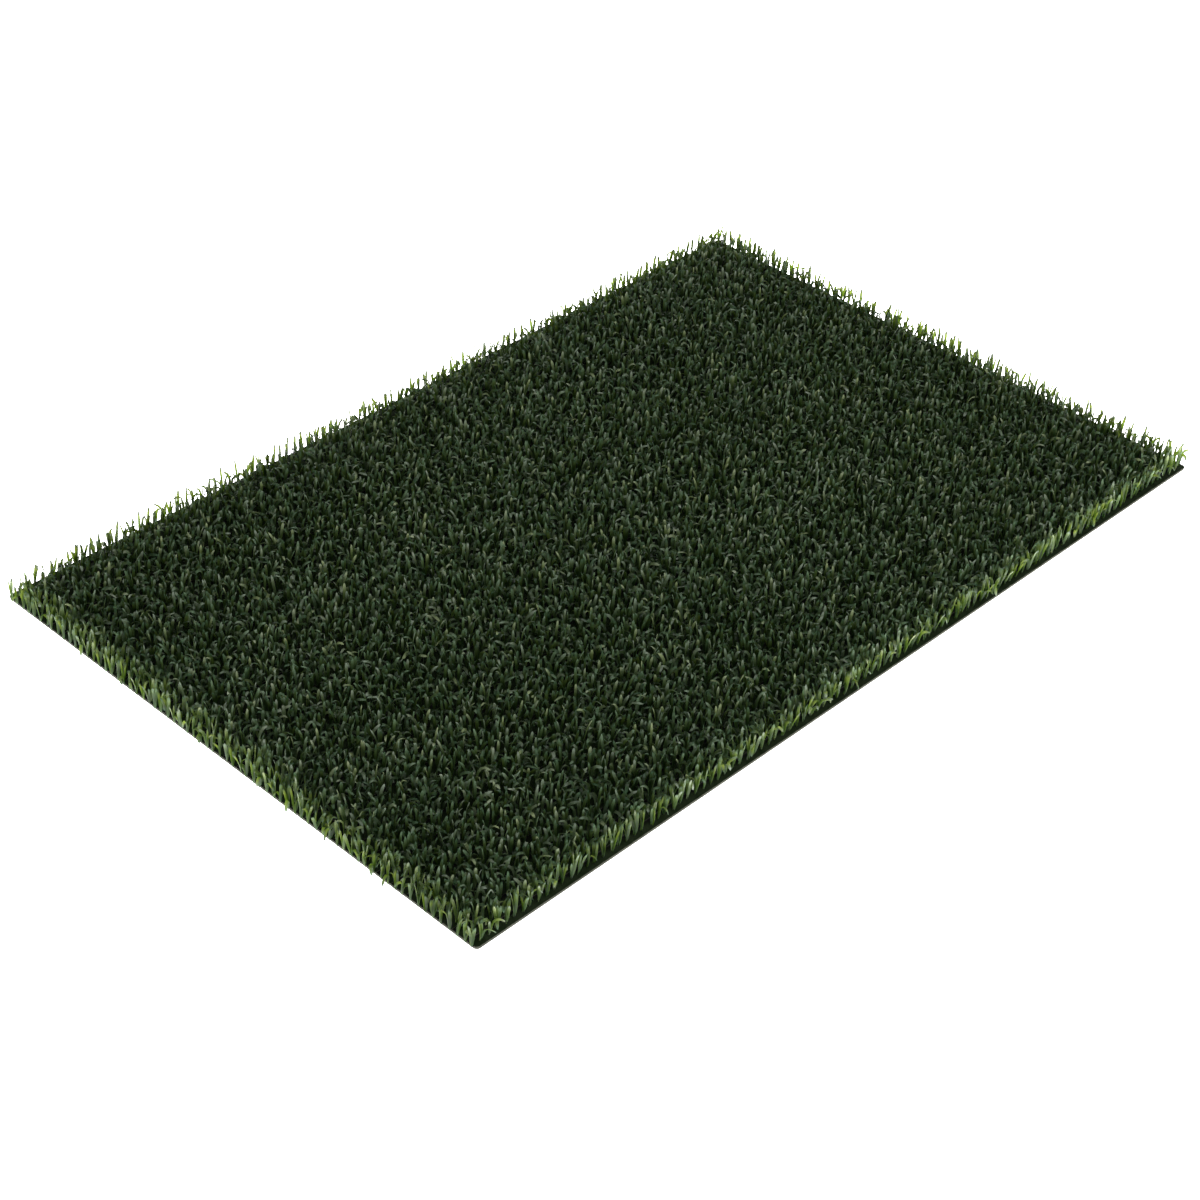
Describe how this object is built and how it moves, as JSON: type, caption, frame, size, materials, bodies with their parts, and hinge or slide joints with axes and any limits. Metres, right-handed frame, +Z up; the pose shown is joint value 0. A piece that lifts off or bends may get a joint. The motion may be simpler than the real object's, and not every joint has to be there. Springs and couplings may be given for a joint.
{
  "type": "golf hitting mat",
  "caption": "Rectangular panel of coarse artificial turf: rows of stiff plastic blades through a thin black backing on a flat black rubber base.",
  "frame": {"origin": "middle of the flat underside, on the surface that the mat lies on", "axes": "+X along the long side and the tuft rows, +Y across the rows, +Z up out of the pile"},
  "size_m": [0.6, 0.4, 0.0144],
  "materials": {
    "base_rubber": "matt black rubber or latex sheet",
    "backing_cloth": "matt black woven plastic cloth",
    "turf_green": "dark green plastic blades with a soft sheen"
  },
  "bodies": {
    "root": {"rubber_base": "base_rubber", "primary_backing": "backing_cloth", "tuft_row_01": "turf_green", "tuft_row_02": "turf_green", "tuft_row_03": "turf_green", "tuft_row_04": "turf_green", "tuft_row_05": "turf_green", "tuft_row_06": "turf_green", "tuft_row_07": "turf_green", "tuft_row_08": "turf_green", "tuft_row_09": "turf_green", "tuft_row_10": "turf_green", "tuft_row_11": "turf_green", "tuft_row_12": "turf_green", "tuft_row_13": "turf_green", "tuft_row_14": "turf_green", "tuft_row_15": "turf_green", "tuft_row_16": "turf_green", "tuft_row_17": "turf_green", "tuft_row_18": "turf_green", "tuft_row_19": "turf_green", "tuft_row_20": "turf_green", "tuft_row_21": "turf_green", "tuft_row_22": "turf_green", "tuft_row_23": "turf_green", "tuft_row_24": "turf_green", "tuft_row_25": "turf_green", "tuft_row_26": "turf_green", "tuft_row_27": "turf_green", "tuft_row_28": "turf_green", "tuft_row_29": "turf_green", "tuft_row_30": "turf_green", "tuft_row_31": "turf_green", "tuft_row_32": "turf_green", "tuft_row_33": "turf_green", "tuft_row_34": "turf_green", "tuft_row_35": "turf_green"}
  },
  "joints": []
}
